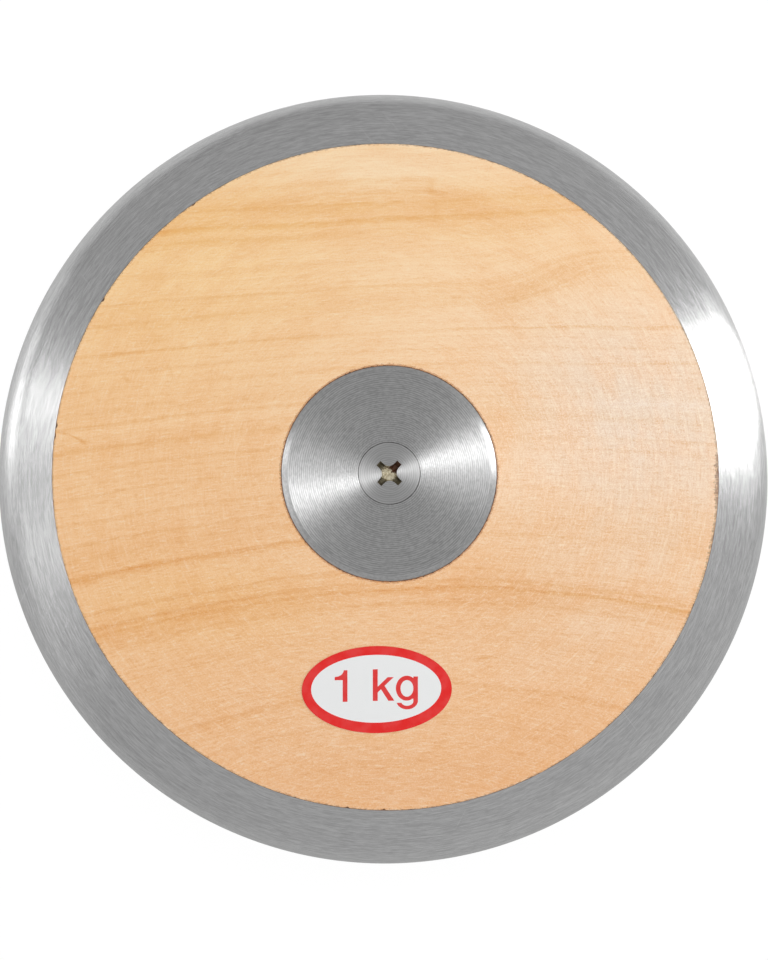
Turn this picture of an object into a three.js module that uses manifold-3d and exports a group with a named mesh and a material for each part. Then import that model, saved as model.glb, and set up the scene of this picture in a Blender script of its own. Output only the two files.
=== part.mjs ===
// A one kilogram throwing discus with a steel rim and a wooden body, lying flat.
// Millimetres, +Z up along the axis of the discus.
// The part stands on the flat of its lower centre plate: its origin is the middle of that face.
//
// The rim is one steel ring with a thin web that runs inwards at half thickness.
// Two turned wooden sides close over the web, meet each other inside it, and are held
// together by dowels through the web and by two centre plates.
// Each plate has one countersunk screw, and both screws run into one long sleeve nut.
// Thin washers under the plates bring the discus to its weight.
import * as THREE from "three";
import { mergeVertices, toCreasedNormals } from "three/addons/utils/BufferGeometryUtils.js";
import Module from "manifold-3d";

const wasm = await Module();
wasm.setup();

// Whole discus
const discusDiameter = 180.3;
const discusThickness = 37.4;

// Clearances
const glueGap = 0.25; // round everything that is let into the wood
const screwGap = 0.25; // between a screw and the plate or washer that it passes
const threadGap = 0.3; // radial play between the screws' thread and the nut's
const labelGlue = 0.1; // under the label
const overrun = 1; // how far a cutting solid runs past what it cuts

// Steel rim
const rimEdgeRadius = 6; // rounding of the outer edge
const rimFaceWidth = 12.25; // the steel band seen from above
const webWidth = 6.5;
const webThickness = 1.1;

// Centre plates
const plateDiameter = 50;
const plateTaperWidth = 1.3; // outer ring of the plate that slopes with the side
const plateUnderHead = 0.25; // metal left under the countersink

// Countersunk screws with a cross recess
const headDiameter = 14.3;
const headLand = 0.2; // short straight wall above the cone of the head
const threadDiameter = 8;
const threadPitch = 1.25;
const tipChamfer = 0.9;
const recessSpan = 7.1; // tip to tip across the cross
const recessArmWidth = 1.15;
const recessDepth = 3.4;

// Sleeve nut
const nutAcrossFlats = 13;
const nutEndGap = 1.6; // from each end of the nut to the washers
const nutChamfer = 0.6;

// Trim washers
const washerDiameter = 24;
const washerThickness = 0.8;
const washersPerSide = 2;

// Dowels through the web
const dowelDiameter = 3;
const dowelChamfer = 0.4;
const dowelCover = 2; // wood left over the end of a dowel hole
const dowelCount = 8;

// Weight label
const labelWidth = 34.9;
const labelHeight = 20.5;
const labelThickness = 0.2;

// Shares
const threadDepthShare = 0.541; // of the pitch, from crest to root
const threadRootWidthShare = 0.75; // of the pitch, across the foot of the ridge
const threadCrestWidthShare = 0.125; // of the pitch, across its top
const threadEngagementShare = 0.775; // of half the nut, taken up by one screw
const threadRunoutShare = 0.5; // of the gap above the nut, where the thread ends
const recessCornerShare = 0.46; // of the cross's reach, where its arms begin to part
const recessFloorShare = 0.42; // size of the recess at its floor against its mouth
const labelPlaceShare = 0.474; // of the way from the plate to the rim

// Angles, in degrees
const firstDowelAngle = 22.5;
const labelAngle = -92.9;
const labelTurn = 0.8;
const upperRecessAngle = 46.9;
const lowerRecessAngle = 18;
const creaseAngle = 30; // sharper bends than this are shaded as edges

// Counts of facets
const turnSegments = 72;
const washerSegments = 36;
const threadSteps = 12;
const dowelSegments = 12;
const nutSides = 6;
const recessArms = 4;
const headSegments = 48;
const edgeSteps = 12;
const recessCornerSteps = 4;
const labelSteps = 48;
const mergeDistance = 1e-4;

// Sizes that follow
const outerRadius = discusDiameter / 2;
const halfThickness = discusThickness / 2;
const edgeCentre = outerRadius - rimEdgeRadius;
const rimBore = outerRadius - rimFaceWidth;
const webBore = rimBore - webWidth;
const webHalf = webThickness / 2;
const plateRadius = plateDiameter / 2;
const flatRadius = plateRadius - plateTaperWidth;
const headRadius = headDiameter / 2;
const crestRadius = threadDiameter / 2;
const rootRadius = crestRadius - threadPitch * threadDepthShare;
const headDepth = headLand + headRadius - crestRadius;
const plateThickness = headDepth + plateUnderHead;
const plateFloor = halfThickness - plateThickness;
const washerRadius = washerDiameter / 2;
const washerFloor = plateFloor - washersPerSide * washerThickness;
const nutHalf = washerFloor - nutEndGap;
const nutCorner = nutAcrossFlats / 2 / Math.cos(Math.PI / nutSides);
const dowelRadius = dowelDiameter / 2;
const dowelHoleRadius = dowelRadius + glueGap;
const dowelCircle = rimBore - webWidth / 2;

// Each side is a straight taper from the flat of the plate to where it meets the rounded edge
const taperReach = edgeCentre - flatRadius;
const taper =
  Math.atan2(halfThickness, taperReach) -
  Math.asin(rimEdgeRadius / Math.hypot(taperReach, halfThickness));

function sideHeight(radius) {
  return halfThickness - (radius - flatRadius) * Math.tan(taper);
}

const dowelHoleEnd = sideHeight(dowelCircle + dowelHoleRadius) - dowelCover;
const dowelHalf = dowelHoleEnd - glueGap;

// Turns a closed outline of [radius, height] points, listed anticlockwise, about +Z
function turned(outline, segments = turnSegments) {
  const points = [...outline, outline[0]].map(([radius, height]) => new THREE.Vector2(radius, height));
  return new THREE.LatheGeometry(points, segments).rotateX(Math.PI / 2);
}

// Upright cylinder between two heights
function rod(radius, from, to, segments) {
  return turned([[0, from], [radius, from], [radius, to], [0, to]], segments);
}

// Closed geometry to a solid that can be joined and cut
function toSolid(geometry) {
  const plain = geometry.clone();
  plain.deleteAttribute("normal");
  plain.deleteAttribute("uv");
  const merged = mergeVertices(plain, mergeDistance);
  return new wasm.Manifold(
    new wasm.Mesh({
      numProp: 3,
      vertProperties: merged.attributes.position.array,
      triVerts: new Uint32Array(merged.index.array),
    }),
  );
}

function toGeometry(solid) {
  const mesh = solid.getMesh();
  const geometry = new THREE.BufferGeometry();
  geometry.setAttribute("position", new THREE.BufferAttribute(mesh.vertProperties, 3));
  geometry.setIndex(new THREE.BufferAttribute(mesh.triVerts, 1));
  return toCreasedNormals(geometry, THREE.MathUtils.degToRad(creaseAngle));
}

function named(name, geometry, material) {
  const mesh = new THREE.Mesh(geometry, material);
  mesh.name = name;
  return mesh;
}

// Middle of each dowel, on a circle half way across the web
const origin = new THREE.Vector2();
const dowelPlaces = Array.from({ length: dowelCount }, (_, index) => {
  const angle = THREE.MathUtils.degToRad(firstDowelAngle) + (index * 2 * Math.PI) / dowelCount;
  return new THREE.Vector2(dowelCircle, 0).rotateAround(origin, angle);
});

// Cuts a row of dowel holes out of a solid, between two heights
function withDowelHoles(solid, from, to) {
  return dowelPlaces.reduce((cut, { x, y }) => {
    const hole = rod(dowelHoleRadius, from, to, dowelSegments).translate(x, y, 0);
    return cut.subtract(toSolid(hole));
  }, solid);
}

// Steel ring: rounded outer edge, flat bore, and the web with its dowel holes
function rimGeometry() {
  const edge = Array.from({ length: edgeSteps + 1 }, (_, step) => {
    const angle = (Math.PI / 2 - taper) * ((2 * step) / edgeSteps - 1);
    return [edgeCentre + rimEdgeRadius * Math.cos(angle), rimEdgeRadius * Math.sin(angle)];
  });
  const outline = [
    [webBore, -webHalf],
    [rimBore, -webHalf],
    [rimBore, -sideHeight(rimBore)],
    ...edge,
    [rimBore, sideHeight(rimBore)],
    [rimBore, webHalf],
    [webBore, webHalf],
  ];
  const through = webHalf + overrun;
  return toGeometry(withDowelHoles(toSolid(turned(outline)), -through, through));
}

// One wooden side: flat where it meets the other, rebated for the web, pocketed for the plate
function woodGeometry() {
  const bore = nutCorner + glueGap;
  const rim = rimBore - glueGap;
  const plate = plateRadius + glueGap;
  const outline = [
    [bore, 0],
    [webBore - glueGap, 0],
    [webBore - glueGap, webHalf],
    [rim, webHalf],
    [rim, sideHeight(rim)],
    [plate, sideHeight(plate)],
    [plate, plateFloor],
    [washerRadius + glueGap, plateFloor],
    [washerRadius + glueGap, washerFloor],
    [bore, washerFloor],
  ];
  return toGeometry(withDowelHoles(toSolid(turned(outline)), -overrun, dowelHoleEnd));
}

// Centre plate: flat face, sloping outer ring, countersunk hole
function plateGeometry() {
  const coneFoot = halfThickness - headDepth;
  return turned([
    [crestRadius + screwGap, plateFloor],
    [plateRadius, plateFloor],
    [plateRadius, sideHeight(plateRadius)],
    [flatRadius, halfThickness],
    [headRadius + screwGap, halfThickness],
    [headRadius + screwGap, halfThickness - headLand],
    [crestRadius + screwGap, coneFoot],
  ]);
}

function washerGeometry(layer) {
  const top = plateFloor - layer * washerThickness;
  const bottom = top - washerThickness;
  const outline = [
    [crestRadius + screwGap, bottom],
    [washerRadius, bottom],
    [washerRadius, top],
    [crestRadius + screwGap, top],
  ];
  return turned(outline, washerSegments);
}

// Right-hand thread as a core with one helical ridge.
// The ridge passes angle zero at whole pitches from z = 0, so every thread in the part is in step.
function threadSolid(root, crest, from, to) {
  const footHalf = (threadPitch * threadRootWidthShare) / 2;
  const topHalf = (threadPitch * threadCrestWidthShare) / 2;
  const buried = root / 2;
  const section = [
    [buried, -footHalf],
    [root, -footHalf],
    [crest, -topHalf],
    [crest, topHalf],
    [root, footHalf],
    [buried, footHalf],
  ];
  const firstStep = Math.floor((from / threadPitch) * threadSteps);
  const lastStep = Math.ceil((to / threadPitch) * threadSteps);
  const corners = section.length;
  const positions = [];
  const faces = [];
  for (let step = firstStep; step <= lastStep; step++) {
    const turns = step / threadSteps;
    const angle = turns * 2 * Math.PI;
    for (const [radius, height] of section) {
      positions.push(radius * Math.cos(angle), radius * Math.sin(angle), turns * threadPitch + height);
    }
  }
  for (let ring = 0; ring < lastStep - firstStep; ring++) {
    for (let corner = 0; corner < corners; corner++) {
      const here = ring * corners + corner;
      const next = ring * corners + ((corner + 1) % corners);
      faces.push(here, here + corners, next, here + corners, next + corners, next);
    }
  }
  const last = (lastStep - firstStep) * corners;
  for (let corner = 1; corner < corners - 1; corner++) {
    faces.push(0, corner, corner + 1, last, last + corner + 1, last + corner);
  }
  const ridge = new THREE.BufferGeometry();
  ridge.setAttribute("position", new THREE.Float32BufferAttribute(positions, 3));
  ridge.setIndex(faces);
  return toSolid(rod(root, from, to, threadSteps)).add(toSolid(ridge));
}

// Cross recess, narrowing from its mouth to its floor, with rounded corners between the arms
function recessGeometry(angle) {
  const reach = recessSpan / 2;
  const arm = recessArmWidth / 2;
  const corner = reach * recessCornerShare;
  const cross = new THREE.Shape();
  cross.moveTo(reach, -arm);
  for (let count = 0; count < recessArms; count++) {
    const onArm = (x, y) => new THREE.Vector2(x, y).rotateAround(origin, (count * 2 * Math.PI) / recessArms);
    const tip = onArm(reach, arm);
    const before = onArm(corner, arm);
    const bend = onArm(arm, arm);
    const after = onArm(arm, corner);
    const nextTip = onArm(arm, reach);
    cross.lineTo(tip.x, tip.y);
    cross.lineTo(before.x, before.y);
    cross.quadraticCurveTo(bend.x, bend.y, after.x, after.y);
    cross.lineTo(nextTip.x, nextTip.y);
  }
  const cutHeight = recessDepth + overrun;
  const settings = { depth: cutHeight, bevelEnabled: false, curveSegments: recessCornerSteps };
  const geometry = new THREE.ExtrudeGeometry(cross, settings);
  const position = geometry.attributes.position;
  for (let index = 0; index < position.count; index++) {
    const rise = position.getZ(index) / recessDepth;
    const size = recessFloorShare + (1 - recessFloorShare) * rise;
    position.setX(index, position.getX(index) * size);
    position.setY(index, position.getY(index) * size);
  }
  geometry.rotateZ(THREE.MathUtils.degToRad(angle));
  return geometry.translate(0, 0, halfThickness - recessDepth);
}

// Countersunk screw, its head flush with the plate, its thread in the upper half of the nut
function screwGeometry(recessAngle) {
  const tip = nutHalf - nutHalf * threadEngagementShare;
  const threadEnd = nutHalf + nutEndGap * threadRunoutShare;
  const wide = crestRadius + overrun;
  const tipRadius = crestRadius - tipChamfer;
  const pointed = turned(
    [[0, tip], [tipRadius, tip], [wide, tip + wide - tipRadius], [wide, threadEnd], [0, threadEnd]],
    headSegments,
  );
  const head = turned(
    [
      [0, threadEnd],
      [crestRadius, threadEnd],
      [crestRadius, halfThickness - headDepth],
      [headRadius, halfThickness - headLand],
      [headRadius, halfThickness],
      [0, halfThickness],
    ],
    headSegments,
  );
  const thread = threadSolid(rootRadius, crestRadius, tip - overrun, threadEnd + overrun);
  const screw = thread.intersect(toSolid(pointed)).add(toSolid(head));
  return toGeometry(screw.subtract(toSolid(recessGeometry(recessAngle))));
}

// Long hexagon nut, threaded right through, with chamfered ends
function nutGeometry() {
  const length = 2 * nutHalf;
  const hexagon = new THREE.CylinderGeometry(nutCorner, nutCorner, length, nutSides).rotateX(Math.PI / 2);
  const wide = nutCorner + overrun;
  const chamfered = turned([
    [0, -nutHalf],
    [nutCorner - nutChamfer, -nutHalf],
    [wide, nutChamfer + overrun - nutHalf],
    [wide, nutHalf - nutChamfer - overrun],
    [nutCorner - nutChamfer, nutHalf],
    [0, nutHalf],
  ]);
  const through = nutHalf + overrun;
  const thread = threadSolid(rootRadius + threadGap, crestRadius + threadGap, -through, through);
  return toGeometry(toSolid(hexagon).intersect(toSolid(chamfered)).subtract(thread));
}

function dowelGeometry() {
  const narrow = dowelRadius - dowelChamfer;
  const shoulder = dowelHalf - dowelChamfer;
  return turned(
    [
      [0, -dowelHalf],
      [narrow, -dowelHalf],
      [dowelRadius, -shoulder],
      [dowelRadius, shoulder],
      [narrow, dowelHalf],
      [0, dowelHalf],
    ],
    dowelSegments,
  );
}

// Oval label that follows the taper of the upper side
function labelGeometry() {
  const under = labelGlue / Math.cos(taper);
  const over = (labelGlue + labelThickness) / Math.cos(taper);
  const skin = turned([
    [plateRadius, sideHeight(plateRadius) + under],
    [rimBore, sideHeight(rimBore) + under],
    [rimBore, sideHeight(rimBore) + over],
    [plateRadius, sideHeight(plateRadius) + over],
  ]);
  const oval = new THREE.Shape();
  oval.absellipse(0, 0, labelWidth / 2, (labelHeight / 2) * Math.cos(taper), 0, 2 * Math.PI);
  const settings = { depth: halfThickness, bevelEnabled: false, curveSegments: labelSteps };
  const cutter = new THREE.ExtrudeGeometry(oval, settings);
  const place = new THREE.Vector2(plateRadius + (rimBore - plateRadius) * labelPlaceShare, 0);
  place.rotateAround(origin, THREE.MathUtils.degToRad(labelAngle));
  cutter.rotateZ(THREE.MathUtils.degToRad(labelTurn)).translate(place.x, place.y, 0);
  return toGeometry(toSolid(skin).intersect(toSolid(cutter)));
}

const steel = new THREE.MeshStandardMaterial({ color: 0x9c9a98, roughness: 0.35, metalness: 1 });
const maple = new THREE.MeshStandardMaterial({ color: 0xefc99a, roughness: 0.45, metalness: 0 });
const beech = new THREE.MeshStandardMaterial({ color: 0xc99f6e, roughness: 0.7, metalness: 0 });
const zinc = new THREE.MeshStandardMaterial({ color: 0xb9ab84, roughness: 0.4, metalness: 1 });
const print = new THREE.MeshStandardMaterial({ color: 0xd8343c, roughness: 0.4, metalness: 0 });

// Everything that the discus has once on each side, built for the upper one
function side(name, recessAngle) {
  const group = new THREE.Group();
  group.add(
    named(`${name}_wood_side`, woodGeometry(), maple),
    named(`${name}_centre_plate`, plateGeometry(), steel),
    named(`${name}_plate_screw`, screwGeometry(recessAngle), zinc),
  );
  for (let layer = 0; layer < washersPerSide; layer++) {
    group.add(named(`${name}_trim_washer_${layer + 1}`, washerGeometry(layer), steel));
  }
  return group;
}

const discus = new THREE.Group();
discus.position.z = halfThickness;
discus.add(named("steel_rim", rimGeometry(), steel));

const upperSide = side("upper", upperRecessAngle);
upperSide.add(named("weight_label", labelGeometry(), print));
discus.add(upperSide);

const lowerSide = side("lower", lowerRecessAngle);
lowerSide.rotation.x = Math.PI;
discus.add(lowerSide);

discus.add(named("sleeve_nut", nutGeometry(), zinc));
dowelPlaces.forEach(({ x, y }, index) => {
  const dowel = named(`rim_dowel_${index + 1}`, dowelGeometry(), beech);
  dowel.position.set(x, y, 0);
  discus.add(dowel);
});

export default discus;
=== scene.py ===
# A one kilogram throwing discus with a steel rim and a wooden body, lying flat on a pale floor.
# Metres, +Z up along the axis. The upper side carries the weight label.
import math

import bmesh
import bpy
from mathutils import Matrix, Vector, noise


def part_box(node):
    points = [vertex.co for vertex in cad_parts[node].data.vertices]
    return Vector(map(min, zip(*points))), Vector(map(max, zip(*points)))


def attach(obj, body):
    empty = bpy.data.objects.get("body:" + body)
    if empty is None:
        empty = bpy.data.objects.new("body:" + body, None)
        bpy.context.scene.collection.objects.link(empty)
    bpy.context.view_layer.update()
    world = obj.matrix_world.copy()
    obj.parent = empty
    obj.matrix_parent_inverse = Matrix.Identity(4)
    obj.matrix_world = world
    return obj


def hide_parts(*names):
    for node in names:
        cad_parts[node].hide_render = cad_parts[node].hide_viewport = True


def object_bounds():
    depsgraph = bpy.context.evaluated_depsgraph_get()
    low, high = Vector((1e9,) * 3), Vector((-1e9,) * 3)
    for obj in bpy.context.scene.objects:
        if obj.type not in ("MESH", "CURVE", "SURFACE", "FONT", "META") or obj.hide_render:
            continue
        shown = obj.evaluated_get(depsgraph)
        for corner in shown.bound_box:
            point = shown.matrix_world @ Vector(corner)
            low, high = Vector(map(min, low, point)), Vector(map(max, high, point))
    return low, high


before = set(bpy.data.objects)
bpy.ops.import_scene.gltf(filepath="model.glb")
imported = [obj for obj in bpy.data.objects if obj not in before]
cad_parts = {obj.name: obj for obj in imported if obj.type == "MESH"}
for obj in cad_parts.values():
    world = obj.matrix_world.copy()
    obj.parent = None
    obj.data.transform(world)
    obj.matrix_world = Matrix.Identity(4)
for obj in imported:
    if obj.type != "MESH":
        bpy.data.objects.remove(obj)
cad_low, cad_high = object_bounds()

MM = 0.001

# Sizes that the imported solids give, in metres
MIDDLE = (cad_low.z + cad_high.z) / 2
HALF = (cad_high.z - cad_low.z) / 2
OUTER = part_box("steel_rim")[1].x
WOOD_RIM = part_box("upper_wood_side")[1].x
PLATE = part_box("upper_centre_plate")[1].x
PLATE_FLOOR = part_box("upper_centre_plate")[0].z - MIDDLE
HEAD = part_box("upper_plate_screw")[1].x
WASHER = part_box("upper_trim_washer_1")[1].x
WASHER_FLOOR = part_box("upper_trim_washer_2")[0].z - MIDDLE
NUT_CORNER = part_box("sleeve_nut")[1].x
DOWEL = (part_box("rim_dowel_1")[1].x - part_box("rim_dowel_1")[0].x) / 2
DOWEL_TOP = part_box("rim_dowel_1")[1].z - MIDDLE
LABEL_LOW, LABEL_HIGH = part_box("weight_label")

# Sizes of the turned body, and the angle of its first dowel in degrees
EDGE_RADIUS = 6 * MM
EDGE_CENTRE = OUTER - EDGE_RADIUS
GLUE_GAP = 0.25 * MM
SCREW_GAP = 0.25 * MM
RIM_BORE = WOOD_RIM + GLUE_GAP
WEB_WIDTH = 6.5 * MM
WEB_BORE = RIM_BORE - WEB_WIDTH
WEB_HALF = 0.55 * MM
FLAT = PLATE - 1.3 * MM
HEAD_LAND = 0.2 * MM
SHANK = 4 * MM
HEAD_DEPTH = HEAD_LAND + HEAD - SHANK
DOWEL_HOLE = DOWEL + GLUE_GAP
DOWEL_CIRCLE = RIM_BORE - WEB_WIDTH / 2
FIRST_DOWEL = 22.5
DOWELS = 8
TAPER_REACH = EDGE_CENTRE - FLAT
TAPER = math.atan2(HALF, TAPER_REACH) - math.asin(EDGE_RADIUS / math.hypot(TAPER_REACH, HALF))

# Finer shapes of the visible pieces
TURN_STEPS = 512
HEAD_STEPS = 256
HOLE_STEPS = 32
EDGE_STEPS = 40
EDGE_MARGIN = 0.3 * MM
EDGE_BREAK = 0.06 * MM
SHARP_ANGLE = math.radians(25)

# Points closer together than this are joined
JOIN = 0.0001 * MM

# Face of a centre plate: its flat ends in a small rounded corner, and the ring outside it slopes
RING_START = 0.40 * MM
RING_DROP = 0.05 * MM
CORNER_OUT = 0.06 * MM
CORNER_DROP = 0.03 * MM
CORNER_IN = 0.10 * MM
FLAT_MARGIN = 0.30 * MM
MOUTH_GAP = SCREW_GAP * 0.45
MOUTH_BREAK = 0.04 * MM
MOUTH_BEVEL = 0.03 * MM

# Screw heads and their driver recess, whose levels are a height over the face and a share of reach
HEAD_BREAK = 0.04 * MM
NECK_RADIUS = SHANK * 0.98
NECK_OVERLAP = 0.3 * MM
NECK_CUT = 0.1 * MM
RECESS_REACH = 3.45 * MM
RECESS_DEPTH = 2.4 * MM
RECESS_POINT = 0.5 * MM
RECESS_LEVELS = ((0.6 * MM, 1.04), (0.0, 1.0), (-0.5 * RECESS_DEPTH, 0.90), (-RECESS_DEPTH, 0.76))
RECESS_ARM = 0.20
RECESS_CORNER = 0.80
RECESS_ROUND_STEPS = 8
RECESS_TURN = {"upper": math.radians(46.9), "lower": math.radians(18)}

# Edges of the wood: width of their outermost row, and for each edge the share of the glue gap
# that it closes, how finely it frays and how deep
WOOD_LIP = 0.15 * MM
RIM_FRAY = (0.85, 90.0, 0.10 * MM)
PLATE_FRAY = (0.4, 40.0, 0.2 * MM)

# Glue in the joints: how far it goes down, and its lumps
GLUE_DEPTH = 1.2 * MM
GLUE_LUMP = 0.05 * MM
GLUE_LUMPS = 14


def side_height(radius):
    """Height of the tapered side above the middle of the discus."""
    return HALF - (radius - FLAT) * math.tan(TAPER)


# Nodes of a material

class Graph:
    """Short ways to add shader nodes and link them."""

    def __init__(self, name, kind="materials"):
        self.owner = getattr(bpy.data, kind).new(name)
        self.owner.use_nodes = True
        self.tree = self.owner.node_tree
        self.tree.nodes.clear()

    def node(self, kind, inputs=None, **settings):
        made = self.tree.nodes.new("ShaderNode" + kind)
        for key, value in settings.items():
            setattr(made, key, value)
        for key, value in (inputs or {}).items():
            self.feed(made.inputs[key], value)
        return made

    def feed(self, socket, value):
        if isinstance(value, bpy.types.NodeSocket):
            self.tree.links.new(value, socket)
        else:
            socket.default_value = value

    def math(self, operation, *values):
        return self.node("Math", dict(enumerate(values)), operation=operation).outputs[0]

    def add(self, a, b):
        return self.math("ADD", a, b)

    def minus(self, a, b):
        return self.math("SUBTRACT", a, b)

    def times(self, a, b):
        return self.math("MULTIPLY", a, b)

    def spread(self, value, low, high, to_low=0.0, to_high=1.0, smooth=True):
        """Carries low..high over to to_low..to_high, held at the ends."""
        made = self.node(
            "MapRange",
            {"Value": value, "From Min": low, "From Max": high, "To Min": to_low, "To Max": to_high},
            interpolation_type="SMOOTHSTEP" if smooth else "LINEAR",
        )
        return made.outputs["Result"]

    def vector(self, x, y, z=0.0):
        return self.node("CombineXYZ", {"X": x, "Y": y, "Z": z}).outputs[0]

    def noise(self, vector, scale=1.0, detail=2.0, roughness=0.5, w=None):
        """Noise at a point, with a fourth coordinate where w is given."""
        inputs = {"Vector": vector, "Scale": scale, "Detail": detail, "Roughness": roughness}
        if w is None:
            return self.node("TexNoise", inputs).outputs[0]
        return self.node("TexNoise", {**inputs, "W": w}, noise_dimensions="4D").outputs[0]

    def mix(self, factor, a, b, blend="MIX"):
        made = self.node("Mix", {0: factor, 6: a, 7: b}, data_type="RGBA", blend_type=blend)
        return made.outputs[2]

    def bump(self, height, distance):
        return self.node("Bump", {"Height": height, "Distance": distance, "Strength": 1.0}).outputs[0]

    def coordinates(self):
        return self.node("TexCoord").outputs["Object"]

    def tangent(self):
        """Direction round the axis, which the turned marks follow."""
        return self.node("Tangent", direction_type="RADIAL", axis="Z").outputs[0]

    def place(self):
        """The point in millimetres: x, y, z, and its distance from the axis."""
        scaled = self.node("VectorMath", {0: self.coordinates(), 3: 1 / MM}, operation="SCALE")
        split = self.node("SeparateXYZ", {0: scaled.outputs[0]})
        x, y, z = split.outputs[:3]
        radius = self.math("SQRT", self.add(self.times(x, x), self.times(y, y)))
        return x, y, z, radius

    def finish(self, base, roughness, **inputs):
        """Closes the material with one Principled shader."""
        shader = self.node("BsdfPrincipled", {"Base Color": base, "Roughness": roughness})
        for key, value in inputs.items():
            self.feed(shader.inputs[key.replace("_", " ")], value)
        return self.close(shader)

    def close(self, shader, kind="OutputMaterial"):
        self.node(kind, {"Surface": shader.outputs[0]})
        return self.owner


def grey(level):
    return (level, level, level, 1)


def colour(red, green, blue):
    """A colour from its 0 to 255 screen values."""
    levels = [value / 255 for value in (red, green, blue)]
    linear = [v / 12.92 if v <= 0.04045 else ((v + 0.055) / 1.055) ** 2.4 for v in levels]
    return (*linear, 1)


# Steel

# Handling scratches: directions in degrees, and middles of the curved ones in millimetres
SCRATCH_TURNS = (62, 128)
SCRATCH_CENTRES = ((7.0, 5.0), (-6.0, 9.0))

# Turns the anisotropic shine across the marks
ACROSS_MARKS = 0.25


def turning_marks(graph, place, pitch, arcs, detail=2.0):
    """Noise drawn out into fine concentric marks: pitch in millimetres, arcs in marks per turn."""
    x, y, z, radius = place
    away = graph.math("MAXIMUM", radius, 0.01)
    around = graph.vector(
        graph.math("DIVIDE", radius, pitch),
        graph.times(graph.math("DIVIDE", x, away), arcs),
        graph.times(graph.math("DIVIDE", y, away), arcs),
    )
    return graph.noise(around, detail=detail, roughness=0.65, w=graph.math("DIVIDE", z, pitch))


def feed_marks(graph, place, pitch):
    """Regular fine grooves of a facing cut, slightly uneven in depth."""
    radius = place[3]
    uneven = turning_marks(graph, place, pitch * 3, 3.0, 1.0)
    turns = graph.add(graph.times(radius, 2 * math.pi / pitch), graph.times(uneven, 5.0))
    return graph.spread(graph.math("SINE", turns), -1.0, 1.0, smooth=False)


def handling_marks(graph, place, direction):
    """Sparse thin straight scratches that run in one direction, in degrees."""
    x, y = place[:2]
    cos, sin = math.cos(math.radians(direction)), math.sin(math.radians(direction))
    along = graph.add(graph.times(x, cos), graph.times(y, sin))
    across = graph.minus(graph.times(y, cos), graph.times(x, sin))
    stretched = graph.vector(graph.times(along, 0.07), graph.times(across, 2.6), direction)
    return graph.spread(graph.noise(stretched, detail=0.0), 0.80, 0.86)


def arc_scratches(graph, place, centre):
    """Sparse thin scratches that run round a point a little off the axis."""
    x, y = graph.add(place[0], -centre[0]), graph.add(place[1], -centre[1])
    away = graph.math("SQRT", graph.add(graph.times(x, x), graph.times(y, y)))
    around = graph.vector(
        graph.times(away, 2.4),
        graph.times(graph.math("DIVIDE", x, away), 7.0),
        graph.times(graph.math("DIVIDE", y, away), 7.0),
    )
    return graph.spread(graph.noise(around, detail=0.0), 0.76, 0.84)


def turned_steel(name, level, layers, roughness, anisotropy, mark_depth, tone, feed=(), worn=0.2):
    """Bare steel with concentric tool marks. The shine runs across the marks.

    Each layer of marks is its pitch in millimetres, its marks per turn and its share. Feed is the
    pitch and share of the regular grooves, tone how far the marks lighten and darken the steel,
    and worn how much the handling scratches show.
    """
    graph = Graph(name)
    place = graph.place()
    height = 0.5
    for pitch, arcs, share in layers:
        marks = turning_marks(graph, place, pitch, arcs)
        height = graph.add(height, graph.times(graph.minus(marks, 0.5), share))
    both = height
    if feed:
        grooves = graph.minus(feed_marks(graph, place, feed[0]), 0.5)
        both = graph.add(height, graph.times(grooves, feed[1]))
    shade = graph.mix(
        graph.spread(both, 0.35, 0.65), grey(level * (1 - tone)), grey(level * (1 + tone))
    )
    scratches = graph.add(*[handling_marks(graph, place, turn) for turn in SCRATCH_TURNS])
    for centre in SCRATCH_CENTRES:
        scratches = graph.math("MAXIMUM", scratches, arc_scratches(graph, place, centre))
    shade = graph.mix(graph.times(scratches, worn), shade, grey(0.9))
    return graph.finish(
        shade,
        graph.spread(height, 0.35, 0.65, roughness * 0.96, roughness * 1.04),
        Metallic=1.0,
        Anisotropic=anisotropy,
        Anisotropic_Rotation=ACROSS_MARKS,
        Tangent=graph.tangent(),
        Normal=graph.bump(height, mark_depth),
    )


# Wood

# What the dark rings and the fibres take out of the colour under them
RING_TINT = (0.85, 0.58, 0.156, 1)
FIBRE_TINT = (0.90, 0.76, 0.58, 1)

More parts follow.
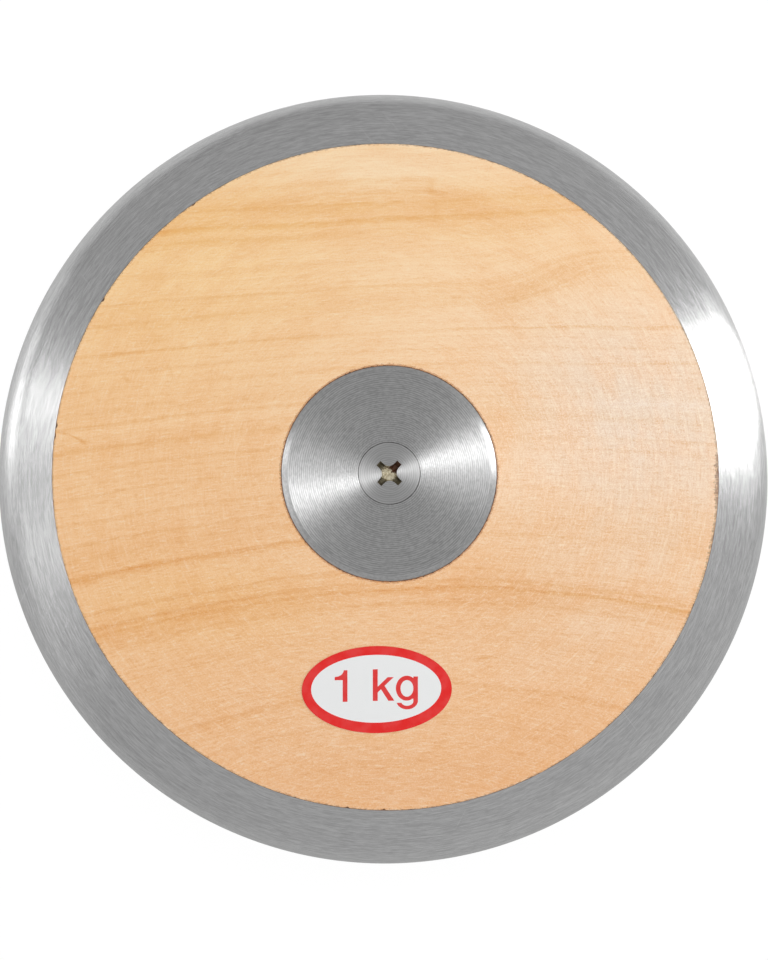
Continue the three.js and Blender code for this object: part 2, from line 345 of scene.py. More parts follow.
# Growth rings and darker zones of the wood, each by its level in millimetres, how dark it is at
# the left, in the middle and at the right, and how far it fades out below and above
RINGS = [
    (62.5, (0.40, 0.44, 0.50), 10.0, 7.5),
    (69.2, (0.12, 0.16, 0.08), 0.9, 0.5),
    (66.3, (0.12, 0.16, 0.14), 1.0, 0.5),
    (64.1, (0.28, 0.30, 0.26), 0.9, 0.5),
    (60.0, (0.44, 0.52, 0.30), 1.3, 0.7),
    (56.8, (0.42, 0.10, 0.04), 1.2, 0.8),
    (50.3, (0.12, 0.08, 0.08), 1.6, 0.6),
    (43.9, (0.26, 0.28, 0.28), 1.0, 0.5),
    (40.8, (0.18, 0.18, 0.18), 4.6, 5.0),
    (39.4, (0.26, 0.16, 0.12), 1.0, 0.6),
    (33.1, (0.56, 0.24, 0.46), 0.9, 0.5),
    (28.6, (0.12, 0.18, 0.16), 1.0, 0.6),
    (25.0, (0.26, 0.36, 0.32), 1.0, 0.6),
    (20.4, (0.18, 0.14, 0.08), 4.0, 4.0),
    (17.4, (0.42, 0.32, 0.20), 0.9, 0.5),
    (12.6, (0.28, 0.24, 0.12), 4.0, 3.0),
    (12.2, (0.20, 0.14, 0.10), 0.8, 0.5),
    (7.9, (0.40, 0.38, 0.22), 0.9, 0.5),
    (5.1, (0.14, 0.20, 0.10), 0.8, 0.5),
    (2.3, (0.28, 0.20, 0.10), 0.8, 0.5),
    (-3.2, (0.32, 0.36, 0.06), 0.8, 0.5),
    (-7.8, (0.28, 0.14, 0.08), 0.9, 0.5),
    (-11.0, (0.26, 0.28, 0.20), 5.0, 6.0),
    (-14.5, (0.70, 0.54, 0.34), 1.7, 0.7),
    (-22.4, (0.44, 0.36, 0.26), 1.0, 0.6),
    (-27.0, (0.38, 0.36, 0.40), 5.0, 4.0),
    (-25.2, (0.56, 0.28, 0.34), 0.8, 0.6),
    (-26.8, (0.30, 0.38, 0.54), 0.8, 0.5),
    (-30.2, (0.30, 0.40, 0.20), 0.9, 0.6),
    (-37.3, (0.16, 0.10, 0.16), 1.2, 0.7),
    (-48.3, (0.14, 0.18, 0.48), 1.0, 0.5),
    (-50.2, (0.42, 0.28, 0.10), 1.8, 0.9),
    (-57.0, (0.16, 0.12, 0.18), 1.8, 0.9),
    (-66.5, (0.08, 0.16, 0.14), 2.4, 1.4),
]

# Levels that each ramp of rings covers, and how the grain slopes and arches
RING_BANDS = ((-80.0, -28.0), (-28.0, -6.0), (-6.0, 23.0), (23.0, 52.0), (52.0, 82.0))
GRAIN_SLOPE = 0.052
GRAIN_BEND = 0.00085
GRAIN_BEND_REACH = 38.0

# Swirl of the rings at the right, placed like the marks below, and how far it pushes them up
SWIRL = (52.0, 50.0, 60.0, 8.5, 6)
SWIRL_RISE = 7.5

# Soft brown marks on the upper board: middle, reach along and across in millimetres, turn in
# degrees, strength
STAINS = [
    (10.3, 67.6, 1.1, 1.9, -6, 0.50),
    (11.0, 66.4, 4.2, 0.45, -4, 0.70),
    (11.2, 62.2, 1.0, 2.6, 0, 0.30),
    (33.0, 43.6, 7.5, 2.0, 32, 0.32),
    (43.0, 48.4, 9.0, 1.6, 22, 0.16),
    (28.0, 40.5, 6.0, 3.2, 8, 0.26),
    (47.6, 53.8, 3.6, 2.6, -30, 0.30),
    (-55.0, 33.6, 3.6, 2.4, 8, 0.24),
    (-54.0, 31.0, 3.2, 1.0, 12, 0.45),
    (-50.6, 24.0, 0.6, 2.6, 24, 0.36),
    (-60.6, 22.0, 0.8, 0.45, -20, 0.60),
    (-61.2, 22.8, 0.4, 0.8, 20, 0.35),
    (-75.2, 9.7, 1.4, 0.34, -12, 1.00),
    (-72.6, 8.7, 1.5, 0.20, -27, 1.00),
    (-70.9, 7.7, 0.9, 0.38, -30, 1.10),
    (21.0, -21.8, 0.9, 0.5, 10, 0.70),
    (22.4, -42.6, 3.0, 0.30, 9, 0.80),
    (21.8, -31.6, 3.4, 0.30, 2, 0.40),
    (36.0, 47.0, 18.0, 14.0, -42, 0.20),
    (41.0, -60.0, 26.0, 13.0, 34, 0.36),
    (-39.0, -0.5, 20.0, 9.0, 0, 0.24),
    (0.0, -70.0, 24.0, 8.0, 0, 0.26),
    (-42.0, -28.5, 27.0, 10.0, 0, 0.16),
    (27.0, -29.0, 17.0, 11.0, -6, 0.52),
    (27.0, 13.0, 10.0, 8.0, 0, 0.50),
]

# Painted sheen: paler colour at the right that stands in for the gloss of the lacquer under the lamp
# there, where its fine marks show most
PAINTED_SHEEN = (60.0, 15.0, 34.0, 25.0, -8)

# Paler or yellower places: middle, reach along and across, turn, strength, colour. The first is the
# painted sheen
PATCHES_AND_SHEEN = [
    (*PAINTED_SHEEN, 0.85, (230, 212, 197)),
    (-45.0, 52.0, 40.0, 26.0, 10, 0.35, (251, 210, 138)),
    (0.0, 72.0, 28.0, 7.0, 0, 0.30, (250, 228, 196)),
    (44.0, -38.0, 20.0, 10.0, 0, 0.25, (240, 212, 186)),
    (54.0, -14.0, 34.0, 26.0, 0, 0.30, (228, 203, 180)),
    (-42.0, -30.0, 28.0, 10.0, 0, 0.46, (243, 194, 124)),
    (24.0, 60.0, 20.0, 9.0, 0, 0.30, (246, 204, 144)),
]

# Torn places of the edge at the rim: middle, reach and turn
TORN = (78.4, -1.0, 12.0, 7.0, 0)
SLIGHTLY_TORN = (78.0, -14.0, 12.0, 30.0, 12)


def ring_darkness(level):
    """Left, middle and right darkness of all the growth rings together at one level."""
    total = [0.0, 0.0, 0.0]
    for ring, dark, below, above in RINGS:
        reach = below if level < ring else above
        share = max(0.0, 1.0 - abs(level - ring) / reach)
        total = [old + share * more for old, more in zip(total, dark)]
    return total


def ring_strength(graph, level, x):
    """Darkness of the growth rings at a level, read from ramps that hold left, middle, right."""
    left = graph.spread(x, -6, -26)
    right = graph.spread(x, 4, 28)
    middle = graph.minus(graph.minus(1.0, left), right)
    turns = set()
    for ring, _, below, above in RINGS:
        turns.update((ring - below, ring, ring + above))
    chosen = grey(0)
    for low, high in RING_BANDS:
        ramp = graph.node("ValToRGB", {"Fac": graph.spread(level, low, high, smooth=False)})
        elements = ramp.color_ramp.elements
        elements[0].color = (*ring_darkness(low), 1)
        elements[1].color = (*ring_darkness(high), 1)
        for turn in sorted(turns):
            if low + 0.05 < turn < high - 0.05 and len(elements) < 32:
                elements.new((turn - low) / (high - low)).color = (*ring_darkness(turn), 1)
        chosen = graph.mix(graph.math("GREATER_THAN", level, low), chosen, ramp.outputs[0])
    weights = graph.vector(left, middle, right)
    dot = graph.node("VectorMath", {0: chosen, 1: weights}, operation="DOT_PRODUCT")
    return dot.outputs["Value"]


def ring_level(graph, x, y):
    """Level of the growth ring that passes a point. Rings rise gently and arch in the middle."""
    flat = graph.minus(y, graph.times(x, GRAIN_SLOPE))
    across = graph.times(graph.times(x, x), GRAIN_BEND)
    level = y
    for _ in range(2):
        bend = graph.math("EXPONENT", graph.math("DIVIDE", level, -GRAIN_BEND_REACH))
        level = graph.add(flat, graph.times(across, bend))
    return level


def soft_spot(graph, x, y, spot):
    """1 at the middle of an oval spot, fading to 0 past its reach along and across."""
    middle_x, middle_y, long, wide, turn = spot
    cos, sin = math.cos(math.radians(turn)), math.sin(math.radians(turn))
    right, up = graph.minus(x, middle_x), graph.minus(y, middle_y)
    along = graph.add(graph.times(right, cos / long), graph.times(up, sin / long))
    across = graph.add(graph.times(up, cos / wide), graph.times(right, -sin / wide))
    far = graph.add(graph.times(along, along), graph.times(across, across))
    return graph.math("EXPONENT", graph.times(far, -1.0))


def board_place(graph, turn, shift):
    """The point in millimetres on the board that a side was turned from."""
    scale = (1 / MM,) * 3
    inputs = {"Vector": graph.coordinates(), "Rotation": turn, "Scale": scale, "Location": shift}
    board = graph.node("Mapping", inputs)
    return graph.node("SeparateXYZ", {0: board.outputs[0]}).outputs[:3]


def wavy_level(graph, x, y, z):
    """Ring level with the swirl at the right, a slow drift and a fine wobble."""
    slow = graph.noise(graph.vector(graph.times(x, 0.03), graph.times(y, 0.12)), detail=1.0)
    quick = graph.noise(graph.vector(graph.times(x, 0.25), graph.times(y, 2.2), z))
    swirl = graph.times(graph.spread(x, 20, 52), soft_spot(graph, x, y, SWIRL))
    level = graph.add(ring_level(graph, x, y), graph.times(swirl, -SWIRL_RISE))
    level = graph.add(level, graph.spread(slow, 0.2, 0.8, -0.5, 0.5, smooth=False))
    return graph.add(level, graph.spread(quick, 0.2, 0.8, -0.3, 0.3, smooth=False))


def bare_board(graph, x, y, stained):
    """Colour of the wood before its rings: pinker below, paler above, yellower at the left. The upper
    side adds paler and yellower patches, the first of them a painted sheen.
    """
    drift = graph.spread(y, -75, 75, smooth=False)
    base = graph.mix(drift, colour(239, 189, 143), colour(252, 219, 177))
    yellower = graph.mix(drift, colour(243, 190, 134), colour(247, 197, 126))
    base = graph.mix(graph.spread(x, 5, -75, 0.0, 0.45), base, yellower)
    # Paler patches on the upper side; the first is a painted sheen, standing in for the gloss of the
    # lacquer under the lamp at the right
    for *spot, strength, shade in PATCHES_AND_SHEEN if stained else ():
        patch_and_sheen = graph.times(soft_spot(graph, x, y, spot), strength)
        base = graph.mix(patch_and_sheen, base, colour(*shade))
    return base


def ringed_board(graph, x, y, z, level, stained):
    """Colour of the wood with its clouds, faint lines, growth rings and stains."""
    cloud = graph.noise(graph.vector(graph.times(x, 0.06), graph.times(y, 0.10), z), detail=3.0)
    faint = graph.noise(graph.vector(graph.times(x, 0.012), graph.times(level, 1.1)), detail=3.0)
    patches = graph.noise(graph.vector(graph.times(x, 0.05), graph.times(level, 0.5)), detail=3.0)
    rings = ring_strength(graph, level, x)
    rings = graph.times(rings, graph.spread(patches, 0.25, 0.75, 0.7, 1.3))
    base = bare_board(graph, x, y, stained)
    base = graph.mix(graph.spread(cloud, 0.35, 0.7, 0.0, 0.26), base, colour(238, 178, 112))
    base = graph.mix(graph.spread(faint, 0.4, 0.75, 0.0, 0.16), base, RING_TINT, "MULTIPLY")
    base = graph.mix(graph.times(rings, 0.80), base, RING_TINT, "MULTIPLY")
    for *spot, strength in STAINS if stained else ():
        stain = graph.times(soft_spot(graph, x, y, spot), strength * 0.6)
        base = graph.mix(stain, base, RING_TINT, "MULTIPLY")
    return base


def marked_board(graph, base, x, y, z, fibre, sanding, speckle):
    """Colour with dark and pale fine marks, stronger towards the label and in the painted sheen,
    where they are painted as the gloss of the lacquer would show them.
    """
    sheen = soft_spot(graph, x, y, PAINTED_SHEEN)
    lengthwise = graph.spread(y, 60, -60, 1.2, 1.9)
    coarse = graph.spread(graph.minus(x, y), -70, 90, 1.25, 1.9)
    # The painted sheen makes the sanding and speckle marks stronger, as the gloss would show them
    coarse = graph.times(coarse, graph.add(graph.times(sheen, 0.7), 1.0))
    for marks, gain, dark, light in (
        (fibre, lengthwise, 0.54, 0.22),
        (sanding, coarse, 0.22, 0.14),
        (speckle, coarse, 0.34, 0.22),
    ):
        deep = graph.times(graph.spread(marks, 0.48, 0.78, 0.0, dark), gain)
        pale = graph.times(graph.spread(marks, 0.50, 0.22, 0.0, light), gain)
        base = graph.mix(deep, base, FIBRE_TINT, "MULTIPLY")
        base = graph.mix(pale, base, colour(252, 238, 214))
    streaks = graph.vector(graph.times(x, 0.6), graph.times(y, 4.0), z)
    fleck = graph.noise(streaks, roughness=0.6)
    return graph.mix(graph.spread(fleck, 0.64, 0.8, 0.0, 0.35), base, FIBRE_TINT, "MULTIPLY")


def frayed_board(graph, base, x, y, z, place):
    """Colour with a dark ragged line at the rim and a brown one at the plate."""
    threads = graph.vector(graph.times(x, 0.9), graph.times(y, 2.2), z)
    fray = graph.noise(threads, scale=1.5, detail=3.0, roughness=0.8)
    slightly = graph.times(soft_spot(graph, *place[:2], SLIGHTLY_TORN), 0.45)
    torn = graph.math("MAXIMUM", soft_spot(graph, *place[:2], TORN), slightly)
    radius, rim = place[3], WOOD_RIM / MM
    near_rim = graph.spread(radius, graph.spread(torn, 0, 1, rim - 0.35, rim - 1.8), rim)
    ragged_share = graph.spread(torn, 0, 1, 0.26, 0.36)
    burnt = graph.math("GREATER_THAN", graph.add(graph.times(near_rim, ragged_share), fray), 0.77)
    burnt = graph.times(burnt, graph.spread(torn, 0, 1, 0.42, 0.72))
    base = graph.mix(burnt, base, colour(112, 70, 48))
    near_plate = graph.spread(radius, PLATE / MM + 1.0, PLATE / MM + 0.2)
    singed = graph.spread(graph.add(graph.times(near_plate, 0.45), fray), 0.78, 0.86)
    return graph.mix(graph.times(singed, 0.6), base, colour(164, 96, 46))


def lacquered_maple(name, turn, shift, stained):
    """Pale wood with drawn rings, fibres, sanding marks and a satin lacquer.

    Turn and shift place the board. Stained adds the brown marks, the paler and yellower patches and
    the painted sheen of the upper side.
    """
    graph = Graph(name)
    place = graph.place()
    x, y, z = board_place(graph, turn, shift)
    level = wavy_level(graph, x, y, z)
    lines = graph.vector(graph.times(x, 0.28), graph.times(level, 3.2))
    fibre = graph.noise(lines, detail=3.0, roughness=0.7)
    sanding = turning_marks(graph, place, 0.38, 15.0)
    speckle = graph.noise(graph.vector(x, y, z), scale=3.2, roughness=0.7)
    base = ringed_board(graph, x, y, z, level, stained)
    base = marked_board(graph, base, x, y, z, fibre, sanding, speckle)
    height = graph.add(graph.times(fibre, 0.5), graph.times(sanding, 0.5))
    return graph.finish(
        frayed_board(graph, base, x, y, z, place),
        graph.spread(speckle, 0.3, 0.7, 0.40, 0.60),
        Normal=graph.bump(height, 0.02 * MM),
        Specular_IOR_Level=0.45,
        Coat_Weight=0.2,
        Coat_Roughness=0.3,
    )


# Other finishes

def yellow_zinc(name):
    """Yellow zinc plate, stained brown in places."""
    graph = Graph(name)
    spot = graph.vector(*graph.place()[:3])
    blotch = graph.noise(spot, scale=0.9, detail=3.0)
    shade = graph.mix(graph.spread(blotch, 0.35, 0.7), colour(226, 212, 160), colour(150, 112, 58))
    grain = graph.noise(spot, scale=9.0)
    return graph.finish(
        shade,
        graph.spread(grain, 0.3, 0.7, 0.28, 0.5),
        Metallic=0.85,
        Normal=graph.bump(grain, 0.03 * MM),
    )


def recess_zinc_and_shade(graph, place):
    """Colour of the recess: pale zinc, with painted shade darkening the deep tips of its arms, and a
    brown corner that is partly rust and partly painted shade of its wall.
    """
    x, y, z, radius = place
    blotch = graph.noise(graph.vector(x, y, z), scale=1.1, detail=4.0, roughness=0.7)
    blotch = graph.spread(blotch, 0.25, 0.75, -0.8, 0.8, smooth=False)
    # Painted shade: the narrow deep tips of the arms are darkened
    tips = graph.spread(graph.add(radius, blotch), 1.3, 2.2)
    # Rust and painted shade: one corner, where the wall is in shadow, turns dark brown
    corner = graph.add(graph.times(graph.add(x, y), 0.7), blotch)
    zinc = graph.mix(graph.spread(blotch, -0.4, 0.5), colour(232, 224, 200), colour(178, 164, 130))
    zinc = graph.mix(tips, zinc, colour(100, 92, 70))
    return graph.mix(graph.spread(corner, 0.6, 1.3), zinc, colour(84, 50, 30))


def screw_steel():
    """Faced off bright with the plate on top, yellow zinc with brown stains and painted shade in the
    recess.
    """
    graph = Graph("faced_screw")
    place = graph.place()
    off_middle = graph.math("ABSOLUTE", graph.minus(place[2], MIDDLE / MM))
    below = graph.spread(graph.minus(HALF / MM, off_middle), 0.015, 0.05)
    marks = turning_marks(graph, place, 0.16, 1.5)
    both = graph.add(graph.times(marks, 0.75), graph.times(feed_marks(graph, place, 0.5), 0.25))
    bright = graph.mix(graph.spread(both, 0.3, 0.7), grey(0.38), grey(0.52))
    return graph.finish(
        graph.mix(below, bright, recess_zinc_and_shade(graph, place)),
        graph.spread(below, 0.0, 1.0, 0.34, 0.5),
        Metallic=graph.spread(below, 0.0, 1.0, 1.0, 0.3),
        Anisotropic=0.8,
        Anisotropic_Rotation=ACROSS_MARKS,
        Tangent=graph.tangent(),
        Normal=graph.bump(marks, 0.012 * MM),
    )


def glue_line():
    """Brown glue, darker in its lumps."""
    graph = Graph("brown_glue")
    lumps = graph.noise(graph.vector(*graph.place()[:3]), scale=1.6, detail=3.0)
    return graph.finish(
        graph.mix(graph.spread(lumps, 0.3, 0.75), colour(58, 34, 18), colour(150, 98, 48)),
        graph.spread(lumps, 0.3, 0.7, 0.35, 0.7),
        Normal=graph.bump(lumps, 0.1 * MM),
    )


def printed_film(name, printed):
    """Smooth printed film with faint unevenness in its ink."""
    graph = Graph(name)
    spot = graph.vector(*graph.place()[:3])
    cloud = graph.noise(spot, scale=0.35, detail=3.0)
    specks = graph.noise(spot, scale=4.0)
    soft = graph.mix(graph.spread(cloud, 0.3, 0.7, 0.0, 0.03), printed, grey(0.9))
    return graph.finish(
        graph.mix(graph.spread(specks, 0.6, 0.8, 0.0, 0.08), soft, grey(0.2)),
        graph.spread(specks, 0.3, 0.7, 0.32, 0.42),
        Normal=graph.bump(specks, 0.004 * MM),
        Specular_IOR_Level=0.3,
    )


def plain_beech():
    """Bare beech with streaks along the dowels."""
    graph = Graph("dowel_beech")
    x, y, z = graph.place()[:3]
    spot = graph.vector(graph.times(x, 3.0), graph.times(y, 3.0), graph.times(z, 0.3))
    streaks = graph.noise(spot)
    return graph.finish(
        graph.mix(graph.spread(streaks, 0.3, 0.7), colour(206, 156, 108), colour(172, 118, 74)),
        graph.spread(streaks, 0.3, 0.7, 0.55, 0.75),
        Normal=graph.bump(streaks, 0.04 * MM),
    )


# Meshes

def added(name, data):
    """A new object in the scene that holds this mesh, lamp or camera."""
    made = bpy.data.objects.new(name, data)
    bpy.context.scene.collection.objects.link(made)
    return made


def built(name, points, faces):
    mesh = bpy.data.meshes.new(name)
    mesh.from_pydata(points, [], faces)
    return mesh


def piece(name, mesh, material):
    """A finished piece in its place in the frame."""
    made = added(name, mesh)
    mesh.materials.clear()
    mesh.materials.append(material)
    mesh.shade_smooth()
    mesh.set_sharp_from_angle(angle=SHARP_ANGLE)
    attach(made, "root")
    return made


def turned(name, outline, steps=TURN_STEPS, upside=1, shape=None):
    """Turns a closed outline of (radius, height above the middle) about the axis.

    Upside is 1 for the upper side and -1 for the lower one. Shape may move each point.
    """
    points, faces = [], []
    rows = len(outline)
    for step in range(steps):
        angle = step * 2 * math.pi / steps
        for row, (radius, height) in enumerate(outline):
            if shape:
                radius, height = shape(row, radius, height, angle)
            x, y = radius * math.cos(angle), upside * radius * math.sin(angle)
            points.append((x, y, MIDDLE + upside * height))
    for step in range(steps):
        here, there = step * rows, (step + 1) % steps * rows
        for row in range(rows):
            after = (row + 1) % rows
            faces.append((here + row, there + row, there + after, here + after))
    mesh = built(name, points, faces)
    cleaned(mesh)
    return mesh


def cleaned(mesh):
    """Joins points that fall together, such as those on the axis, and turns all faces out."""
    work = bmesh.new()
    work.from_mesh(mesh)
    bmesh.ops.remove_doubles(work, verts=work.verts, dist=JOIN)
    bmesh.ops.dissolve_degenerate(work, edges=work.edges, dist=JOIN)
    bmesh.ops.recalc_face_normals(work, faces=work.faces)
    work.to_mesh(mesh)
    work.free()


def carved(mesh, tool, operation="DIFFERENCE"):
    """One solid cut by another, joined to it, or kept only inside it."""
    body, cutter = added("work_body", mesh), added("work_cutter", tool)
    change = body.modifiers.new("cut", "BOOLEAN")
    change.operation = operation
    change.solver = "EXACT"
    change.object = cutter
    evaluated = body.evaluated_get(bpy.context.evaluated_depsgraph_get())
    result = bpy.data.meshes.new_from_object(evaluated)
    result.name = mesh.name
    for made in (body, cutter):
        bpy.data.objects.remove(made)
    bpy.data.meshes.remove(tool)
    return result


def prism(outlines, low, high):
    """Upright solids between two heights, each from a closed outline of (x, y) points."""
    points, faces = [], []
    for outline in outlines:
        first, count = len(points), len(outline)
        top = first + count
        points += [(x, y, low) for x, y in outline] + [(x, y, high) for x, y in outline]
        faces.append([first + index for index in reversed(range(count))])
        faces.append([top + index for index in range(count)])
        for index in range(count):
            after = (index + 1) % count
            faces.append((first + index, first + after, top + after, top + index))
    return built("prism", points, faces)


def arc(x, y, wide, high, start, end, steps=24):
    """Points along an ellipse between two angles in degrees."""
    turns = [math.radians(start + (end - start) * step / steps) for step in range(steps + 1)]
    return [(x + wide * math.cos(turn), y + high * math.sin(turn)) for turn in turns]


def ellipse(x, y, wide, high, steps, start=0):
    """Points all the way round an ellipse."""
    return arc(x, y, wide, high, start, start + 360, steps)[:-1]


def dowel_holes(low, high, upside=1):
    """Cutter for the ring of dowel holes between two heights above the middle."""
    middles = ellipse(0, 0, DOWEL_CIRCLE, DOWEL_CIRCLE, DOWELS, FIRST_DOWEL)
    outlines = [ellipse(x, y, DOWEL_HOLE, DOWEL_HOLE, HOLE_STEPS) for x, y in middles]
    ends = sorted((MIDDLE + upside * low, MIDDLE + upside * high))
    return prism(outlines, *ends)


# Pieces

def make_rim(material):
    """Steel ring: web, flat bore, tapered faces and the rounded outer edge."""
    reach = 90 - math.degrees(TAPER)
    edge = arc(EDGE_CENTRE, 0, EDGE_RADIUS, EDGE_RADIUS, -reach, reach, EDGE_STEPS)
    lip = RIM_BORE + EDGE_BREAK
    shoulder = EDGE_CENTRE + EDGE_RADIUS * math.sin(TAPER) - EDGE_MARGIN
    upper = [
        (shoulder, side_height(shoulder)),
        (lip, side_height(lip)),
        (RIM_BORE, side_height(RIM_BORE) - EDGE_BREAK),
        (RIM_BORE, WEB_HALF),
        (WEB_BORE, WEB_HALF),
    ]
    lower = [(radius, -height) for radius, height in reversed(upper)]
    outline = [*lower, *edge, *upper]
    mesh = carved(turned("turned_rim", outline), dowel_holes(-2 * WEB_HALF, 2 * WEB_HALF))
    rim = piece("turned_rim", mesh, material)
    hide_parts("steel_rim")


def ragged(angle, seed, fray):
    """How far a wooden edge reaches into the glue gap at an angle, less where it is frayed."""
    closes, fineness, depth = fray
    spot = Vector((math.cos(angle) * fineness, math.sin(angle) * fineness, seed))
    return GLUE_GAP * closes - depth * max(0.0, noise.fractal(spot, 0.6, 2.0, 3))


# Chips of the wood where it meets the rim: angle in degrees and depth, and how wide they are
NICK_WIDTH = 0.3
RIM_NICKS = (
    (148.2, 0.45 * MM), (125.4, 0.35 * MM), (171.5, 0.45 * MM), (173.2, 0.35 * MM),
    (269.6, 0.40 * MM), (263.3, 0.30 * MM), (1.1, 0.30 * MM),
)


def nicked(angle):
    """Depth of the chips of the wooden edge at an angle."""
    depth = 0.0
    for place, size in RIM_NICKS:
        apart = (math.degrees(angle) - place + 180) % 360 - 180
        depth += size * math.exp(-(apart / NICK_WIDTH) ** 2)
    return depth


def make_wood(side, upside, material):
    """Wooden side: flat at the middle, rebated for the web, pocketed for the plate."""
    bore = NUT_CORNER + GLUE_GAP
    plate_edge = PLATE + GLUE_GAP
    slope = [plate_edge + WOOD_LIP, plate_edge + 4 * WOOD_LIP, PLATE * 1.3]
    slope += [WOOD_RIM * 0.75, WOOD_RIM - 4 * WOOD_LIP, WOOD_RIM - WOOD_LIP]
    outline = [
        (bore, 0),
        (WEB_BORE - GLUE_GAP, 0),
        (WEB_BORE - GLUE_GAP, WEB_HALF),
        (WOOD_RIM, WEB_HALF),
        (WOOD_RIM, side_height(WOOD_RIM) - 6 * WOOD_LIP),
        (WOOD_RIM, side_height(WOOD_RIM)),
        *[(radius, side_height(radius)) for radius in reversed(slope)],
        (plate_edge, side_height(plate_edge)),
        (plate_edge, side_height(plate_edge) - 6 * WOOD_LIP),
        (plate_edge, PLATE_FLOOR),
        (WASHER + GLUE_GAP, PLATE_FLOOR),
        (WASHER + GLUE_GAP, WASHER_FLOOR),
        (bore, WASHER_FLOOR),
    ]
    rim_rows = (4, 5)
    plate_rows = (len(slope) + 6, len(slope) + 7)
    seed = 3.1 * upside

    def frayed(row, radius, height, angle):
        if row in rim_rows:
            radius += ragged(angle, seed, RIM_FRAY) - nicked(angle)
        if row in plate_rows:
            radius -= ragged(angle, seed + 9, PLATE_FRAY)
        return radius, height

    mesh = turned(side + "_maple", outline, 2 * TURN_STEPS, upside, frayed)
    mesh = carved(mesh, dowel_holes(-2 * WEB_HALF, DOWEL_TOP + GLUE_GAP, upside))
    wood = piece(side + "_maple", mesh, material)
    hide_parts(side + "_wood_side")


def make_plate(side, upside, material, bevel):
    """Centre plate: flat face, sloping outer ring, countersunk hole, broken edges."""
    hole = SHANK + SCREW_GAP
    mouth = HEAD + MOUTH_GAP
    outline = [
        (hole, PLATE_FLOOR),
        (PLATE, PLATE_FLOOR),
        (PLATE, side_height(PLATE) - EDGE_BREAK),
        (PLATE - EDGE_BREAK, side_height(PLATE - EDGE_BREAK)),
        (FLAT + RING_START, side_height(FLAT + RING_START) - RING_DROP),
        (FLAT + CORNER_OUT, HALF - CORNER_DROP),
        (FLAT - CORNER_IN, HALF),
        (FLAT - FLAT_MARGIN, HALF),
        (mouth + MOUTH_BEVEL, HALF),
        (mouth, HALF - MOUTH_BREAK),
        (mouth, HALF - HEAD_LAND),
        (hole, HALF - HEAD_DEPTH),
    ]
    mesh = turned(side + "_faced_plate", outline, upside=upside)
    plate = piece(side + "_faced_plate", mesh, material)
    mesh.materials.append(bevel)
    for face in mesh.polygons:
        sloping = math.hypot(face.center.x, face.center.y) > FLAT and abs(face.normal.z) > 0.5
        outside = upside * (face.center.z - MIDDLE) > HALF / 2
        face.material_index = int(sloping and outside)
    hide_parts(side + "_centre_plate")


def recess_outline(reach, turn):
    """Cross with rounded corners between its arms, as wide at the tips as a driver's blade."""
    arm = RECESS_ARM * reach
    out = RECESS_CORNER * reach - arm
    local = [(reach, -arm), (reach, arm)]
    for step in range(RECESS_ROUND_STEPS + 1):
        share = step / RECESS_ROUND_STEPS
        local.append((arm + out * (1 - share) ** 2, arm + out * share ** 2))
    points = []
    for quarter in range(4):
        angle = turn + quarter * math.pi / 2
        cos, sin = math.cos(angle), math.sin(angle)
        points += [(x * cos - y * sin, x * sin + y * cos) for x, y in local]
    return points


def recess_cutter(turn):
    """Driver recess that narrows from its mouth to a pointed floor."""
    points, faces = [], []
    for rise, share in RECESS_LEVELS:
        outline = recess_outline(RECESS_REACH * share, turn)
        points += [(x, y, HALF + rise) for x, y in outline]
    count = len(outline)
    for layer in range(len(RECESS_LEVELS) - 1):
        for index in range(count):
            after = (index + 1) % count
            upper, lower = layer * count, (layer + 1) * count
            faces.append((upper + index, lower + index, lower + after, upper + after))
    faces.append(list(range(count)))
    tip, last = len(points), (len(RECESS_LEVELS) - 1) * count
    points.append((0, 0, HALF - RECESS_DEPTH - RECESS_POINT))
    for index in range(count):
        faces.append((last + index, tip, last + (index + 1) % count))
    return built("recess", points, faces)


def cut_shank(mesh, top):
    """Keeps the part of a screw below a height, closed with a flat face."""
    work = bmesh.new()
    work.from_mesh(mesh)
    bmesh.ops.remove_doubles(work, verts=work.verts, dist=JOIN)
    whole = [*work.verts, *work.edges, *work.faces]
    cut = bmesh.ops.bisect_plane(
        work, geom=whole, plane_co=(0, 0, top), plane_no=(0, 0, 1), clear_outer=True
    )
    edges = [part for part in cut["geom_cut"] if isinstance(part, bmesh.types.BMEdge)]
    bmesh.ops.contextual_create(work, geom=edges)
    work.to_mesh(mesh)
    work.free()


def make_screw(side, upside, material):
    """Countersunk screw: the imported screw's threaded shank under a finely turned head."""
    name = side + "_faced_screw"
    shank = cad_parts[side + "_plate_screw"].data.copy()
    flip = Matrix.Rotation(math.pi, 4, "X") if upside < 0 else Matrix.Identity(4)
    to_side = flip @ Matrix.Translation((0, 0, -MIDDLE))
    shank.transform(to_side)
    neck = HALF - HEAD_DEPTH
    cut_shank(shank, neck - NECK_CUT)
    outline = [
        (0, neck - NECK_OVERLAP),
        (NECK_RADIUS, neck - NECK_OVERLAP),
        (NECK_RADIUS, neck),
        (HEAD, HALF - HEAD_LAND),
        (HEAD, HALF - HEAD_BREAK),
        (HEAD - HEAD_BREAK, HALF),
        (0, HALF),
    ]
    head = turned(name, outline, steps=HEAD_STEPS)
    head.transform(Matrix.Translation((0, 0, -MIDDLE)))
    head = carved(head, recess_cutter(RECESS_TURN[side]))
    mesh = carved(head, shank, "UNION")
    mesh.transform(to_side.inverted())
    mesh.name = name
    screw = piece(name, mesh, material)
    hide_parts(side + "_plate_screw")


